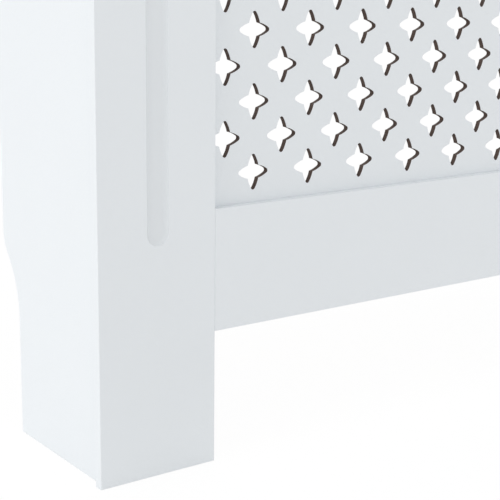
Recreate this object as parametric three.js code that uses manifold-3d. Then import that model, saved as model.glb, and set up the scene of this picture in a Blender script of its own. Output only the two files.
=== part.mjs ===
// Radiator cover cabinet: a white open-backed case of thin fibreboard that stands round a radiator.
//
// Frame: millimetres, +X to the right seen from the front, +Y towards the wall, +Z up. The origin is on the
// floor, in the middle of the cabinet's box. The wall plane, the open back, is at +Y.
//
// The front is a frame of two fluted stiles and two rails, dowelled together, with a grille of pierced stars
// screwed to its back. The side panels stand behind the stiles, set in by a small lip, and are cut out at the
// foot for a skirting board. Battens in the corners and under the top carry the top board.

import * as THREE from "three";
import { mergeGeometries, mergeVertices } from "three/addons/utils/BufferGeometryUtils.js";
import Module from "manifold-3d";

const wasm = await Module();
wasm.setup();

// ---------------------------------------------------------------- driving dimensions, mm

const TOP_WIDTH = 780;
const TOP_DEPTH = 190;
const TOP_THICKNESS = 15;
const TOP_FRONT_OVERHANG = 14.5;
const TOP_SIDE_OVERHANG = 8;
const TOP_CORNER_RADIUS = 12;
const MOULDING_ARRIS = 1;
const MOULDING_NOSE = 6; // height of the upright nose under the ogee
const MOULDING_RADIUS = 4; // both quarter rounds of the ogee

const CABINET_HEIGHT = 815;
const STILE_WIDTH = 108;
const FRAME_THICKNESS = 9;
const BOTTOM_RAIL_FOOT = 111.5; // floor to the rail's lower edge
const BOTTOM_RAIL_HEIGHT = 101;
const TOP_RAIL_HEIGHT = 77.5;

const FLUTE_WIDTH = 20;
const FLUTE_DEPTH = 3;
const FLUTE_COVE = 2.75; // radius between the flute's floor and its walls
const FLUTE_FOOT = 189; // floor to the flute's round lower end
const FLUTE_HEAD = 744;

const SIDE_LIP = 5.25; // the side panel stands in from the stile's outer edge
const SIDE_THICKNESS = 12;
const SKIRTING_DEPTH = 27.5;
const SKIRTING_TOP = 178; // where the cut-out starts to curve in
const SKIRTING_CROWN_RADIUS = 32;
const SKIRTING_HOLLOW_RADIUS = 84;

const GRILLE_THICKNESS = 5;
const GRILLE_LAP = 18; // the grille's hold on the back of the frame
const STAR_PITCH = 57.5; // from star to star up a column, and across a row
const STAR_COLUMNS = 19; // columns stand half a pitch apart
const STAR_ROWS = 17; // rows stand half a pitch apart, and each uses every other column
const STAR_REACH = 14.8; // centre to tip
const STAR_TIP_RADIUS = 3;
const STAR_FLANK = THREE.MathUtils.degToRad(19); // between an arm's side and its axis

const BATTEN = 20; // square section
const CORNER_BATTEN_FOOT = 20;
const TOP_BATTEN_WALL_GAP = 10;

const BRACKET_X = 250;
const BRACKET_WIDTH = 20;
const BRACKET_LEG = 40;
const BRACKET_THICKNESS = 2;
const BRACKET_BEND = 2; // inner radius of the bend

const WALL_HOLE_RADIUS = 2.25;
const WALL_HOLE_DROPS = [15, 32]; // from the top board down the bracket's wall leg

const DOWEL_EDGES = { bottom: 25, top: 20 }; // from each rail's edges to its dowels
const GRILLE_SCREW_HEIGHTS = [240, 467.5, 695]; // up each stile
const GRILLE_SCREW_X = 150; // along each rail, to both sides of the middle
const CORNER_SCREW_HEIGHTS = [120, 400, 680];
const SIDE_SCREW_INSET = 25; // from the ends of a top batten
const TOP_SCREW_INSET = 50;
const RAIL_SCREW_X = [-240, 0, 240];
const FRONT_TOP_SCREW_X = [-120, 120];
const BRACKET_SCREW_FROM_WALL = [32, 15];
const SCREW_LENGTHS = { grille: 12, batten: 25, side: 27, top: 30, bracket: 12 };

const FIT_GAP = 0.3; // between a fastener and its hole
const CUT_OVER = 1; // how far a cutter runs past the face that it opens
const ROUND_SIDES = 6; // sides of every fastener and fastener hole
const ARC_STEPS = 4; // curve divisions of the skirting cut-out's arcs
const FLUTE_STEPS = 3; // curve divisions of the flute's cove and ends

// ---------------------------------------------------------------- planes that follow from them

const WALL_Y = TOP_DEPTH / 2;
const FRONT_Y = -WALL_Y + TOP_FRONT_OVERHANG;
const FRAME_BACK_Y = FRONT_Y + FRAME_THICKNESS;
const GRILLE_BACK_Y = FRAME_BACK_Y + GRILLE_THICKNESS;
const BATTEN_BACK_Y = FRAME_BACK_Y + BATTEN;
const BODY_HEIGHT = CABINET_HEIGHT - TOP_THICKNESS;
const BODY_HALF = TOP_WIDTH / 2 - TOP_SIDE_OVERHANG;
const OPENING_HALF = BODY_HALF - STILE_WIDTH;
const SIDE_INNER_X = BODY_HALF - SIDE_LIP - SIDE_THICKNESS;
const BATTEN_X = SIDE_INNER_X - BATTEN / 2;
const TOP_BATTEN_Z = BODY_HEIGHT - BATTEN;
const TOP_BATTEN_LENGTH = WALL_Y - TOP_BATTEN_WALL_GAP - BATTEN_BACK_Y;
const BOTTOM_RAIL_TOP = BOTTOM_RAIL_FOOT + BOTTOM_RAIL_HEIGHT;
const TOP_RAIL_FOOT = BODY_HEIGHT - TOP_RAIL_HEIGHT;
const SIDES = { left: -1, right: 1 };

// ---------------------------------------------------------------- solids, joins and cuts

/** The closed geometry as a solid, with its shared vertices merged. */
function solidOf(geometry) {
  const bare = geometry.clone();
  bare.deleteAttribute("normal");
  bare.deleteAttribute("uv");
  const merged = mergeVertices(bare, 1e-4);
  const triVerts = new Uint32Array(merged.index.array);
  const vertProperties = merged.attributes.position.array;
  return new wasm.Manifold(new wasm.Mesh({ numProp: 3, vertProperties, triVerts }));
}

/** The solid's surface as a geometry. */
function geometryOf(solid) {
  const mesh = solid.getMesh();
  const geometry = new THREE.BufferGeometry();
  geometry.setAttribute("position", new THREE.BufferAttribute(mesh.vertProperties, 3));
  geometry.setIndex(new THREE.BufferAttribute(mesh.triVerts, 1));
  geometry.computeVertexNormals();
  return geometry;
}

/** The geometry with every cutter taken out of it. */
function carve(geometry, cutters) {
  const left = cutters.reduce((solid, cutter) => solid.subtract(solidOf(cutter)), solidOf(geometry));
  return geometryOf(left);
}

/** A board with its lowest corner at the origin. */
function board(width, depth, height) {
  return new THREE.BoxGeometry(width, depth, height).translate(width / 2, depth / 2, height / 2);
}

/** A surface through outlines of equal length stacked up Z, closed by flat ends. */
function loft(outlines, heights) {
  const count = outlines[0].length;
  const positions = outlines.flatMap((outline, level) => outline.flatMap((p) => [p.x, p.y, heights[level]]));
  const faces = [];
  for (let level = 0; level < outlines.length - 1; level += 1) {
    for (let i = 0; i < count; i += 1) {
      const a = level * count + i;
      const b = level * count + ((i + 1) % count);
      faces.push(a, b, b + count, a, b + count, a + count);
    }
  }
  const lid = THREE.ShapeUtils.triangulateShape(outlines[0], []);
  const last = (outlines.length - 1) * count;
  lid.forEach(([a, b, c]) => faces.push(c, b, a, last + a, last + b, last + c));
  const geometry = new THREE.BufferGeometry();
  geometry.setAttribute("position", new THREE.Float32BufferAttribute(positions, 3));
  geometry.setIndex(faces);
  geometry.computeVertexNormals();
  return geometry;
}

const AXIS = {
  x: new THREE.Vector3(1, 0, 0),
  y: new THREE.Vector3(0, 1, 0),
  z: new THREE.Vector3(0, 0, 1),
};
const FORWARD = new THREE.Vector3(0, -1, 0);
const UP = AXIS.z;

/** Turns an outline drawn over X and Z, extruded along +Z, so that it stands up and grows towards -Y. */
const FACING_FRONT = new THREE.Matrix4().makeBasis(AXIS.x, AXIS.z, FORWARD);

/** Turns an outline drawn over Y and Z, extruded along +Z, so that it stands up and grows towards +X. */
const FACING_SIDE = new THREE.Matrix4().makeBasis(AXIS.y, AXIS.z, AXIS.x);

// ---------------------------------------------------------------- fasteners

const COUNTERSUNK = { shank: 1.5, head: 3.2, sink: 1.8, tip: 3 };
const PAN_HEAD = { shank: 1.6, head: 3.6, crown: 2.4, rise: 2.2, tip: 3 };
const DOWEL = { radius: 2.5, length: 30, chamfer: 0.8 };

/** Half outline of a countersunk screw, tip down, head flush at height 0, grown by gap on every side. */
function countersunkOutline(length, gap) {
  const { shank, head, sink, tip } = COUNTERSUNK;
  const foot = -length - gap;
  const points = [
    new THREE.Vector2(0, foot),
    new THREE.Vector2(shank + gap, foot + tip),
    new THREE.Vector2(shank + gap, -sink),
    new THREE.Vector2(head + gap, 0),
  ];
  if (gap > 0) points.push(new THREE.Vector2(head + gap, CUT_OVER), new THREE.Vector2(0, CUT_OVER));
  else points.push(new THREE.Vector2(0, 0));
  return points;
}

/** Half outline of a pan head screw, tip down, its head resting at height 0. A gap gives its hole. */
function panHeadOutline(length, gap) {
  const { shank, head, crown, rise, tip } = PAN_HEAD;
  const foot = -length - gap;
  const points = [new THREE.Vector2(0, foot), new THREE.Vector2(shank + gap, foot + tip)];
  if (gap > 0) {
    points.push(new THREE.Vector2(shank + gap, CUT_OVER), new THREE.Vector2(0, CUT_OVER));
    return points;
  }
  points.push(new THREE.Vector2(shank, 0), new THREE.Vector2(head, 0));
  points.push(new THREE.Vector2(crown, rise), new THREE.Vector2(0, rise));
  return points;
}

/** Half outline of a dowel with chamfered ends, centred on height 0. A gap gives its square-ended hole. */
function dowelOutline(length, gap) {
  const radius = DOWEL.radius + gap;
  const half = length / 2 + gap;
  const side = [new THREE.Vector2(radius, -half), new THREE.Vector2(radius, half)];
  const chamfered = [
    new THREE.Vector2(radius - DOWEL.chamfer, -half),
    new THREE.Vector2(radius, -half + DOWEL.chamfer),
    new THREE.Vector2(radius, half - DOWEL.chamfer),
    new THREE.Vector2(radius - DOWEL.chamfer, half),
  ];
  return [new THREE.Vector2(0, -half), ...(gap > 0 ? side : chamfered), new THREE.Vector2(0, half)];
}

/** A fastener named name that starts at seat, points along direction and passes through the named boards. */
function fastener(name, outline, length, seat, direction, through) {
  const turn = new THREE.Quaternion().setFromUnitVectors(FORWARD, direction);
  return { name, outline, length, seat: new THREE.Vector3(...seat), turn, through };
}

/** The fastener's own form, tip towards -Y, with its seat at the origin. */
function fastenerForm({ outline, length }) {
  return new THREE.LatheGeometry(outline(length, 0), ROUND_SIDES);
}

/** What the fastener takes out of a board that stands at place. */
function fastenerHole({ outline, length, seat, turn }, place) {
  const hole = new THREE.LatheGeometry(outline(length, FIT_GAP), ROUND_SIDES);
  return hole.applyQuaternion(turn).translate(...seat.clone().sub(place).toArray());
}

function dowels() {
  const rails = {
    bottom: [BOTTOM_RAIL_FOOT + DOWEL_EDGES.bottom, BOTTOM_RAIL_TOP - DOWEL_EDGES.bottom],
    top: [TOP_RAIL_FOOT + DOWEL_EDGES.top, BODY_HEIGHT - DOWEL_EDGES.top],
  };
  const y = FRONT_Y + FRAME_THICKNESS / 2;
  return Object.entries(SIDES).flatMap(([side, sign]) =>
    Object.entries(rails).flatMap(([rail, heights]) =>
      heights.map((z, i) =>
        fastener(
          `${side}_${rail}_dowel_${i + 1}`,
          dowelOutline,
          DOWEL.length,
          [sign * OPENING_HALF, y, z],
          AXIS.x,
          [`${side}_stile`, `${rail}_rail`],
        ),
      ),
    ),
  );
}

function grilleScrews() {
  const lapMiddle = GRILLE_LAP / 2;
  const onStiles = Object.entries(SIDES).flatMap(([side, sign]) =>
    GRILLE_SCREW_HEIGHTS.map((z) => [sign * (OPENING_HALF + lapMiddle), z, `${side}_stile`]),
  );
  const onRails = [-GRILLE_SCREW_X, GRILLE_SCREW_X].flatMap((x) => [
    [x, BOTTOM_RAIL_TOP - lapMiddle, "bottom_rail"],
    [x, TOP_RAIL_FOOT + lapMiddle, "top_rail"],
  ]);
  return [...onStiles, ...onRails].map(([x, z, member], i) =>
    fastener(
      `grille_screw_${i + 1}`,
      panHeadOutline,
      SCREW_LENGTHS.grille,
      [x, GRILLE_BACK_Y, z],
      FORWARD,
      ["grille_panel", member],
    ),
  );
}

function cornerScrews() {
  return Object.entries(SIDES).flatMap(([side, sign]) =>
    CORNER_SCREW_HEIGHTS.map((z, i) =>
      fastener(
        `${side}_corner_screw_${i + 1}`,
        countersunkOutline,
        SCREW_LENGTHS.batten,
        [sign * BATTEN_X, BATTEN_BACK_Y, z],
        FORWARD,
        [`${side}_corner_batten`, `${side}_stile`],
      ),
    ),
  );
}

function sideBattenScrews() {
  const middleZ = TOP_BATTEN_Z + BATTEN / 2;
  const end = BATTEN_BACK_Y + TOP_BATTEN_LENGTH;
  const intoSide = [BATTEN_BACK_Y + SIDE_SCREW_INSET, end - SIDE_SCREW_INSET];
  const intoTop = [BATTEN_BACK_Y + TOP_SCREW_INSET, end - TOP_SCREW_INSET];
  return Object.entries(SIDES).flatMap(([side, sign]) => [
    ...intoSide.map((y, i) =>
      fastener(
        `${side}_side_screw_${i + 1}`,
        countersunkOutline,
        SCREW_LENGTHS.side,
        [sign * (SIDE_INNER_X - BATTEN), y, middleZ],
        AXIS.x.clone().multiplyScalar(sign),
        [`${side}_top_batten`, `${side}_side_panel`],
      ),
    ),
    ...intoTop.map((y, i) =>
      fastener(
        `${side}_top_screw_${i + 1}`,
        countersunkOutline,
        SCREW_LENGTHS.top,
        [sign * BATTEN_X, y, TOP_BATTEN_Z],
        UP,
        [`${side}_top_batten`, "top_board"],
      ),
    ),
  ]);
}

function frontBattenScrews() {
  const middleY = FRAME_BACK_Y + BATTEN / 2;
  const middleZ = TOP_BATTEN_Z + BATTEN / 2;
  const intoRail = RAIL_SCREW_X.map((x, i) =>
    fastener(
      `rail_screw_${i + 1}`,
      countersunkOutline,
      SCREW_LENGTHS.batten,
      [x, BATTEN_BACK_Y, middleZ],
      FORWARD,
      ["front_top_batten", "top_rail"],
    ),
  );
  const intoTop = FRONT_TOP_SCREW_X.map((x, i) =>
    fastener(
      `front_top_screw_${i + 1}`,
      countersunkOutline,
      SCREW_LENGTHS.top,
      [x, middleY, TOP_BATTEN_Z],
      UP,
      ["front_top_batten", "top_board"],
    ),
  );
  return [...intoRail, ...intoTop];
}

function bracketScrews() {
  const underside = BODY_HEIGHT - BRACKET_THICKNESS;
  return Object.entries(SIDES).flatMap(([side, sign]) =>
    BRACKET_SCREW_FROM_WALL.map((reach, i) =>
      fastener(
        `${side}_bracket_screw_${i + 1}`,
        panHeadOutline,
        SCREW_LENGTHS.bracket,
        [sign * BRACKET_X, WALL_Y - reach, underside],
        UP,
        [`${side}_wall_bracket`, "top_board"],
      ),
    ),
  );
}

const FASTENERS = [
  ...dowels(),
  ...grilleScrews(),
  ...cornerScrews(),
  ...sideBattenScrews(),
  ...frontBattenScrews(),
  ...bracketScrews(),
];

// ---------------------------------------------------------------- materials

const MATERIALS = {
  paint: new THREE.MeshStandardMaterial({ color: 0xeef1f3, roughness: 0.45, metalness: 0 }),
  softwood: new THREE.MeshStandardMaterial({ color: 0xd9b88a, roughness: 0.7, metalness: 0 }),
  beech: new THREE.MeshStandardMaterial({ color: 0xc99f6f, roughness: 0.6, metalness: 0 }),
  zinc: new THREE.MeshStandardMaterial({ color: 0xb9bcc0, roughness: 0.35, metalness: 1 }),
};

const cabinet = new THREE.Group();

/** Adds one named mesh at a place and a turn. */
function add(name, geometry, material, place, turn) {
  const mesh = new THREE.Mesh(geometry, material);
  mesh.name = name;
  mesh.position.copy(place);
  if (turn) mesh.quaternion.copy(turn);
  cabinet.add(mesh);
}

/** Adds a board whose geometry stands at place, with its cutters and its fastener holes taken out. */
function addBoard(name, geometry, material, x, y, z, cutters = []) {
  const place = new THREE.Vector3(x, y, z);
  const holes = FASTENERS.filter((f) => f.through.includes(name)).map((f) => fastenerHole(f, place));
  add(name, carve(geometry, [...cutters, ...holes]), material, place);
}

// ---------------------------------------------------------------- front frame

/** The router's path through a stile: a round-ended slot, coved at its floor, that opens on the front. */
function fluteCutter() {
  const half = FLUTE_WIDTH / 2 - FLUTE_COVE;
  const low = FLUTE_FOOT + FLUTE_WIDTH / 2;
  const high = FLUTE_HEAD - FLUTE_WIDTH / 2;
  const slot = new THREE.Shape();
  slot.absarc(0, high, half, 0, Math.PI, false);
  slot.absarc(0, low, half, Math.PI, 2 * Math.PI, false);
  slot.closePath();
  const cutter = new THREE.ExtrudeGeometry(slot, {
    depth: CUT_OVER,
    bevelThickness: FLUTE_COVE,
    bevelSize: FLUTE_COVE,
    bevelSegments: FLUTE_STEPS,
    curveSegments: FLUTE_STEPS,
  });
  const wallTop = FLUTE_DEPTH - FLUTE_COVE;
  return cutter.applyMatrix4(FACING_FRONT).translate(STILE_WIDTH / 2, wallTop, 0);
}

function addStile(side, sign) {
  const form = board(STILE_WIDTH, FRAME_THICKNESS, BODY_HEIGHT);
  const x = sign < 0 ? -BODY_HALF : OPENING_HALF;
  addBoard(`${side}_stile`, form, MATERIALS.paint, x, FRONT_Y, 0, [fluteCutter()]);
}

function addRail(name, foot, height) {
  const form = board(2 * OPENING_HALF, FRAME_THICKNESS, height);
  addBoard(name, form, MATERIALS.paint, -OPENING_HALF, FRONT_Y, foot);
}

// ---------------------------------------------------------------- grille

/** A four-pointed star: straight flanks that meet in valleys on the diagonals, and rounded tips. */
function starShape() {
  const tipCentre = STAR_REACH - STAR_TIP_RADIUS;
  const flankX = tipCentre + STAR_TIP_RADIUS * Math.sin(STAR_FLANK);
  const flankY = STAR_TIP_RADIUS * Math.cos(STAR_FLANK);
  const valley = (flankY + flankX * Math.tan(STAR_FLANK)) / (1 + Math.tan(STAR_FLANK));
  const arm = [
    new THREE.Vector2(flankX, -flankY),
    new THREE.Vector2(STAR_REACH, 0),
    new THREE.Vector2(flankX, flankY),
    new THREE.Vector2(valley, valley),
  ];
  const centre = new THREE.Vector2();
  const quarters = [0, 1, 2, 3].map((quarter) => (quarter * Math.PI) / 2);
  return new THREE.Shape(quarters.flatMap((angle) => arm.map((p) => p.clone().rotateAround(centre, angle))));
}

/** Every star of the staggered field as one set of prisms, its middle at the origin. */
function starField() {
  const step = STAR_PITCH / 2;
  const prism = new THREE.ExtrudeGeometry(starShape(), {
    depth: GRILLE_THICKNESS + 2 * CUT_OVER,
    bevelEnabled: false,
  });
  prism.applyMatrix4(FACING_FRONT).translate(0, GRILLE_THICKNESS + CUT_OVER, 0);
  const prisms = [];
  for (let column = 0; column < STAR_COLUMNS; column += 1) {
    for (let row = (column + 1) % 2; row < STAR_ROWS; row += 2) {
      const x = (column - (STAR_COLUMNS - 1) / 2) * step;
      const z = (row - (STAR_ROWS - 1) / 2) * step;
      prisms.push(prism.clone().translate(x, 0, z));
    }
  }
  return mergeGeometries(prisms);
}

function addGrille() {
  const width = 2 * (OPENING_HALF + GRILLE_LAP);
  const foot = BOTTOM_RAIL_TOP - GRILLE_LAP;
  const height = TOP_RAIL_FOOT + GRILLE_LAP - foot;
  const field = starField().translate(width / 2, 0, height / 2);
  const form = board(width, GRILLE_THICKNESS, height);
  addBoard("grille_panel", form, MATERIALS.paint, -width / 2, FRAME_BACK_Y, foot, [field]);
}

// ---------------------------------------------------------------- sides and top

/** A side panel seen from the side: upright, with an S-curved cut-out at the foot of its back edge. */
function sideOutline() {
  const turn = Math.acos(1 - SKIRTING_DEPTH / (SKIRTING_CROWN_RADIUS + SKIRTING_HOLLOW_RADIUS));
  const drop = (SKIRTING_CROWN_RADIUS + SKIRTING_HOLLOW_RADIUS) * Math.sin(turn);
  const hollowY = WALL_Y - SKIRTING_DEPTH + SKIRTING_HOLLOW_RADIUS;
  const crownY = WALL_Y - SKIRTING_CROWN_RADIUS;
  const outline = new THREE.Shape();
  outline.moveTo(FRAME_BACK_Y, 0);
  outline.lineTo(WALL_Y - SKIRTING_DEPTH, 0);
  outline.absarc(hollowY, SKIRTING_TOP - drop, SKIRTING_HOLLOW_RADIUS, Math.PI, Math.PI - turn, true);
  outline.absarc(crownY, SKIRTING_TOP, SKIRTING_CROWN_RADIUS, -turn, 0, false);
  outline.lineTo(WALL_Y, BODY_HEIGHT);
  outline.lineTo(FRAME_BACK_Y, BODY_HEIGHT);
  outline.closePath();
  return outline;
}

function addSidePanel(side, sign) {
  const options = { depth: SIDE_THICKNESS, bevelEnabled: false, curveSegments: ARC_STEPS };
  const form = new THREE.ExtrudeGeometry(sideOutline(), options).applyMatrix4(FACING_SIDE);
  const x = sign < 0 ? -SIDE_INNER_X - SIDE_THICKNESS : SIDE_INNER_X;
  addBoard(`${side}_side_panel`, form, MATERIALS.paint, x, 0, 0);
}

/** The top board's outline, drawn in by inset at the front and the sides but not at the wall. */
function topOutline(inset) {
  const right = TOP_WIDTH / 2 - TOP_CORNER_RADIUS;
  const front = -WALL_Y + TOP_CORNER_RADIUS;
  const radius = TOP_CORNER_RADIUS - inset;
  const outline = new THREE.Path();
  outline.moveTo(TOP_WIDTH / 2 - inset, WALL_Y);
  outline.lineTo(-TOP_WIDTH / 2 + inset, WALL_Y);
  outline.absarc(-right, front, radius, Math.PI, 1.5 * Math.PI, false);
  outline.absarc(right, front, radius, 1.5 * Math.PI, 2 * Math.PI, false);
  return outline.getPoints(2);
}

/** The edge moulding from the underside up, as pairs of inset and height: arris, nose, ogee, fillet. */
function mouldingProfile() {
  const quarter = [0, 1, 2].map((i) => (i * Math.PI) / 4);
  const r = MOULDING_RADIUS;
  const round = quarter.map((a) => [r * (1 - Math.cos(a)), MOULDING_NOSE + r * Math.sin(a)]);
  const cove = quarter.slice(1).map((a) => [r * (1 + Math.sin(a)), MOULDING_NOSE + r * (2 - Math.cos(a))]);
  return [[MOULDING_ARRIS, 0], [0, MOULDING_ARRIS], ...round, ...cove, [2 * r, TOP_THICKNESS]];
}

function addTopBoard() {
  const profile = mouldingProfile();
  const outlines = profile.map(([inset]) => topOutline(inset));
  const heights = profile.map(([, height]) => height);
  addBoard("top_board", loft(outlines, heights), MATERIALS.paint, 0, 0, BODY_HEIGHT);
}

// ---------------------------------------------------------------- battens and brackets

function addBattens() {
  Object.entries(SIDES).forEach(([side, sign]) => {
    const x = sign * BATTEN_X - BATTEN / 2;
    const corner = board(BATTEN, BATTEN, BODY_HEIGHT - CORNER_BATTEN_FOOT);
    const top = board(BATTEN, TOP_BATTEN_LENGTH, BATTEN);
    addBoard(`${side}_corner_batten`, corner, MATERIALS.softwood, x, FRAME_BACK_Y, CORNER_BATTEN_FOOT);
    addBoard(`${side}_top_batten`, top, MATERIALS.softwood, x, BATTEN_BACK_Y, TOP_BATTEN_Z);
  });
  const span = SIDE_INNER_X - BATTEN;
  const front = board(2 * span, BATTEN, BATTEN);
  addBoard("front_top_batten", front, MATERIALS.softwood, -span, FRAME_BACK_Y, TOP_BATTEN_Z);
}

/** A steel angle seen from the side, its outer corner at the wall and the top board's underside. */
function bracketOutline() {
  const t = BRACKET_THICKNESS;
  const bend = t + BRACKET_BEND;
  const outline = new THREE.Shape();
  outline.moveTo(-BRACKET_LEG, 0);
  outline.lineTo(-BRACKET_LEG, -t);
  outline.absarc(-bend, -bend, BRACKET_BEND, Math.PI / 2, 0, true);
  outline.lineTo(-t, -BRACKET_LEG);
  outline.lineTo(0, -BRACKET_LEG);
  outline.absarc(-bend, -bend, bend, 0, Math.PI / 2, false);
  outline.closePath();
  return outline;
}

/** A round hole through the bracket's wall leg, at a height below the top board. */
function wallHole(drop) {
  const length = BRACKET_THICKNESS + 2 * CUT_OVER;
  const hole = new THREE.CylinderGeometry(WALL_HOLE_RADIUS, WALL_HOLE_RADIUS, length, ROUND_SIDES);
  return hole.translate(BRACKET_WIDTH / 2, -BRACKET_THICKNESS / 2, -drop);
}

function addBracket(side, sign) {
  const options = { depth: BRACKET_WIDTH, bevelEnabled: false, curveSegments: 2 };
  const form = new THREE.ExtrudeGeometry(bracketOutline(), options).applyMatrix4(FACING_SIDE);
  const x = sign * BRACKET_X - BRACKET_WIDTH / 2;
  const holes = WALL_HOLE_DROPS.map(wallHole);
  addBoard(`${side}_wall_bracket`, form, MATERIALS.zinc, x, WALL_Y, BODY_HEIGHT, holes);
}

// ---------------------------------------------------------------- the whole cabinet

Object.entries(SIDES).forEach(([side, sign]) => {
  addStile(side, sign);
  addSidePanel(side, sign);
  addBracket(side, sign);
});
addRail("bottom_rail", BOTTOM_RAIL_FOOT, BOTTOM_RAIL_HEIGHT);
addRail("top_rail", TOP_RAIL_FOOT, TOP_RAIL_HEIGHT);
addGrille();
addTopBoard();
addBattens();
FASTENERS.forEach((f) => {
  const material = f.outline === dowelOutline ? MATERIALS.beech : MATERIALS.zinc;
  add(f.name, fastenerForm(f), material, f.seat, f.turn);
});

export default cabinet;
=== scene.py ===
"""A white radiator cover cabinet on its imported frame: fluted stiles, rails, a grille of pierced stars, side
panels cut out for a skirting board, a moulded top board, and the battens, brackets, dowels and screws that
join them.

Units are metres, +X is right seen from the front, +Y is towards the wall and +Z is up. Every board is a
profile of (inset, depth) pairs carried round its outline and closed by flat lids."""

import math

import bpy
import numpy as np
from bpy.props import FloatProperty, FloatVectorProperty, IntProperty, PointerProperty
from mathutils import Matrix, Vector
from mathutils.geometry import delaunay_2d_cdt


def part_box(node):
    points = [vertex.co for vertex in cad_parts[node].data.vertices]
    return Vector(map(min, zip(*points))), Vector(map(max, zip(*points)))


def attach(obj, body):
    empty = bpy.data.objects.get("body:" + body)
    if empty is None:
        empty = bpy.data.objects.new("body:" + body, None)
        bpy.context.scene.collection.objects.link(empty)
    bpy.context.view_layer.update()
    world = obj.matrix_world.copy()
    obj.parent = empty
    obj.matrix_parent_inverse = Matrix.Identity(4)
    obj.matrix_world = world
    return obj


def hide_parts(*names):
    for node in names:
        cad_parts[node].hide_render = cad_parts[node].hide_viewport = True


bl_info = {
    "name": "Radiator Cover Cabinet",
    "version": (1, 0, 0),
    "blender": (4, 5, 0),
    "location": "View3D > Sidebar > Radiator Cover",
    "description": "Builds a fluted, star-pierced radiator cover cabinet on its packed frame",
    "category": "Add Mesh",
}

MM = 0.001
BODY = "root"
SIDES = {"left": -1, "right": 1}  # and which way along X each lies
QUARTER_TURNS = np.radians([0, 90, 180, 270])

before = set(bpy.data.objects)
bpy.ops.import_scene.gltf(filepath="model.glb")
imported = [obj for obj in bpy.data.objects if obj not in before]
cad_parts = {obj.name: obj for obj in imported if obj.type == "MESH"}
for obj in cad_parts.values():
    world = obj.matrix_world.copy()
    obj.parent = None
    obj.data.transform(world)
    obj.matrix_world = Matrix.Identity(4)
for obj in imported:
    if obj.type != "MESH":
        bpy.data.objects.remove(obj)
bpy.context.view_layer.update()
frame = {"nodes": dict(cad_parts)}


def linear(code):
    """The linear colour of an sRGB hex value such as #eef1f3."""
    levels = np.array([int(code[i : i + 2], 16) for i in (1, 3, 5)]) / 255
    return tuple(np.where(levels <= 0.04045, levels / 12.92, ((levels + 0.055) / 1.055) ** 2.4).tolist())


def length(name, default, description):
    """A length property, in metres."""
    return FloatProperty(
        name=name,
        description=description,
        default=default,
        min=0.0,
        precision=5,
        subtype="DISTANCE",
        unit="LENGTH",
    )


def colour(name, code, description):
    """A colour property whose default is an sRGB hex value."""
    return FloatVectorProperty(
        name=name,
        description=description,
        default=linear(code),
        size=3,
        min=0.0,
        max=1.0,
        subtype="COLOR",
    )


# ---------------------------------------- properties


class FrameSizes(bpy.types.PropertyGroup):
    arris: length("Arris", 0.5 * MM, "Radius to which the edges of the boards are sanded")
    back_arris: length("Back arris", 0.9 * MM, "Radius of the back edges of stiles and rails")
    flute_width: length("Flute width", 20 * MM, "Width of the flute routed down each stile")
    flute_depth: length("Flute depth", 2.5 * MM, "Depth of the flute")
    flute_rim: length("Flute rim", 0.3 * MM, "Radius to which the flute's upper edge is sanded")
    flute_cove: length("Flute cove", 4.5 * MM, "Radius between the flute's floor and its walls")
    flute_foot: length("Flute foot", 189 * MM, "Height of the flute's lower end above the floor")
    flute_head: length("Flute head", 744 * MM, "Height of the flute's upper end above the floor")
    skirting_depth: length("Skirting depth", 27.5 * MM, "Depth of the cut-out for the skirting board")
    skirting_top: length("Skirting top", 178 * MM, "Height where the cut-out has curved back to the wall")
    skirting_crown: length("Skirting crown", 32 * MM, "Radius of the cut-out's upper, convex curve")
    skirting_hollow: length("Skirting hollow", 84 * MM, "Radius of the cut-out's lower, concave curve")


class GrilleSizes(bpy.types.PropertyGroup):
    pitch: length("Star pitch", 57.5 * MM, "Distance from star to star up a column and across a row")
    reach: length("Star reach", 14.8 * MM, "Distance from a star's centre to its tips")
    tip: length("Tip radius", 2.1 * MM, "Radius of the rounded tips")
    valley: length("Valley", 5.4 * MM, "Distance from a star's axes to the valleys between its arms")
    shoulder: FloatProperty(
        name="Shoulder angle",
        description="Half of the angle through which a tip is round",
        default=math.radians(57),
        min=0.0,
        max=math.radians(85),
        subtype="ANGLE",
    )
    columns: IntProperty(name="Columns", description="Columns, half a pitch apart", default=19, min=1)
    rows: IntProperty(name="Rows", description="Rows, half a pitch apart", default=17, min=1)
    rim: length("Rim", 0.2 * MM, "Radius of the paint over the rim of each star")


class TopSizes(bpy.types.PropertyGroup):
    corner: length("Corner radius", 12 * MM, "Radius of the top board's front corners")
    arris: length("Lower arris", 1 * MM, "Radius of the edge under the nose")
    nose: length("Nose", 6 * MM, "Height of the upright nose under the ogee")
    ogee: length("Ogee radius", 4 * MM, "Radius of both quarter rounds of the ogee")
    rim: length("Upper rim", 0.4 * MM, "Radius of the edge between fillet and shelf")


class FittingSizes(bpy.types.PropertyGroup):
    batten_arris: length("Batten arris", 1 * MM, "Radius of the planed battens' edges")
    bend: length("Bracket bend", 2 * MM, "Inner radius of the bracket's bend")
    gauge: length("Bracket gauge", 2 * MM, "Thickness of the bracket's steel strip")
    wall_hole: length("Wall hole", 2.25 * MM, "Radius of the bracket's wall holes")
    thread_pitch: length("Thread pitch", 1.8 * MM, "Distance between the turns of a screw's thread")
    dowel_chamfer: length("Dowel chamfer", 0.8 * MM, "Chamfer on the ends of the dowels")


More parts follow.
